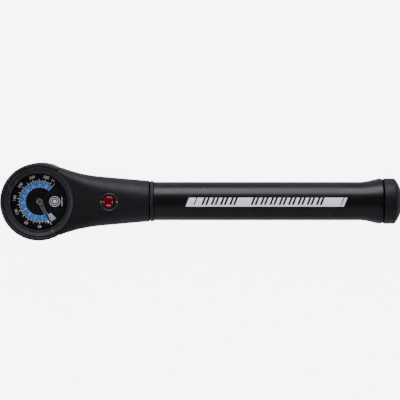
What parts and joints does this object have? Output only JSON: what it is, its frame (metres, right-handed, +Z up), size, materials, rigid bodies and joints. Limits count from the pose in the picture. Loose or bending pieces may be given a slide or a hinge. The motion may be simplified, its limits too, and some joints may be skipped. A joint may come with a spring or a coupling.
{
  "type": "shock pump",
  "caption": "Hand shock pump: a round dial gauge in a tapering head, a push-button bleed valve, and a long sliding barrel that strokes over a fixed inner cylinder and ends in a turning cap.",
  "frame": {"origin": "middle of the surface that the pump lies on, under the middle of its box", "axes": "+X along the pump axis towards the end cap, +Z up out of the gauge's face, +Y across the head"},
  "size_m": [0.2588, 0.05, 0.03],
  "materials": {
    "black_composite": "satin black moulded composite",
    "black_rubber": "matt black rubber",
    "bezel_plastic": "satin dark grey plastic",
    "black_anodised": "semi-gloss black anodised",
    "clear_lens": "clear polished",
    "dial_black": "black printed dial",
    "needle_grey": "light grey painted",
    "red_anodised": "bright red anodised",
    "brass": "machined",
    "steel": "machined",
    "chromed_tube": "polished",
    "seal_rubber": "black nitrile",
    "bearing_plastic": "natural acetal"
  },
  "bodies": {
    "head": {"head_housing": "black_composite", "head_guard": "black_rubber", "gauge_bezel": "bezel_plastic", "gauge_lens": "clear_lens", "lens_gasket": "seal_rubber", "dial_plate": "dial_black", "gauge_case": "steel", "movement_back_plate": "brass", "movement_front_plate": "brass", "movement_pillar_1": "brass", "movement_pillar_2": "brass", "movement_pillar_3": "brass", "plate_screw_1": "steel", "plate_screw_2": "steel", "plate_screw_3": "steel", "bourdon_tube": "brass", "bourdon_tip": "brass", "bourdon_link": "steel", "gauge_socket": "brass", "stem_seal": "seal_rubber", "hairspring": "steel", "button_bush": "black_anodised", "bleed_valve_seat": "brass", "button_spring": "steel", "hose_port": "brass", "port_seal": "seal_rubber", "inner_cylinder": "chromed_tube", "cylinder_seal": "seal_rubber", "check_valve_seat": "brass", "check_valve_flap": "seal_rubber", "bumper_ring": "black_rubber", "rod_guide": "bearing_plastic"},
    "needle": {"needle": "needle_grey", "needle_hub": "steel", "needle_arbor": "steel", "pinion_gear": "brass"},
    "sector": {"sector_gear": "brass", "sector_shaft": "steel"},
    "button": {"bleed_button": "red_anodised", "bleed_pin": "steel", "bleed_seal": "seal_rubber"},
    "rod": {"piston_rod": "chromed_tube", "piston": "bearing_plastic", "piston_seal": "seal_rubber", "piston_screw": "steel", "rod_nut": "steel"},
    "barrel": {"barrel": "black_anodised", "guide_bush": "bearing_plastic", "wiper_ring": "seal_rubber", "end_plug": "bearing_plastic", "selector_seal": "seal_rubber"},
    "cap": {"end_cap": "black_composite", "selector_pin": "steel"}
  },
  "joints": [
    {"name": "pump_stroke", "type": "slide", "parent": "head", "child": "rod", "axis": [1, 0, 0], "range_m": [0, 0.112]},
    {"name": "barrel_spin", "type": "hinge", "parent": "rod", "child": "barrel", "pos_m": [0, 0, 0.0148], "axis": [1, 0, 0], "continuous": true},
    {"name": "selector_turn", "type": "hinge", "parent": "barrel", "child": "cap", "pos_m": [0.12, 0, 0.0148], "axis": [1, 0, 0], "range_deg": [0, 90]},
    {"name": "bleed_press", "type": "slide", "parent": "head", "child": "button", "axis": [0, 0, -1], "range_m": [0, 0.0018], "stiffness_N_per_m": 800, "springref_m": -0.003, "deforming": ["button_spring"]},
    {"name": "sector_turn", "type": "hinge", "parent": "head", "child": "sector", "pos_m": [-0.09521, -0.00771, 0.0168], "axis": [0, 0, 1], "range_deg": [0, 47.6], "stiffness_Nm_per_rad": 0.002, "springref_deg": -11.46},
    {"name": "needle_turn", "type": "hinge", "parent": "head", "child": "needle", "pos_m": [-0.1044, 0, 0.0225], "axis": [0, 0, 1], "range_deg": [-238, 0]}
  ],
  "couplings": [
    {"joint": "needle_turn", "follows": "sector_turn", "ratio": -5}
  ]
}
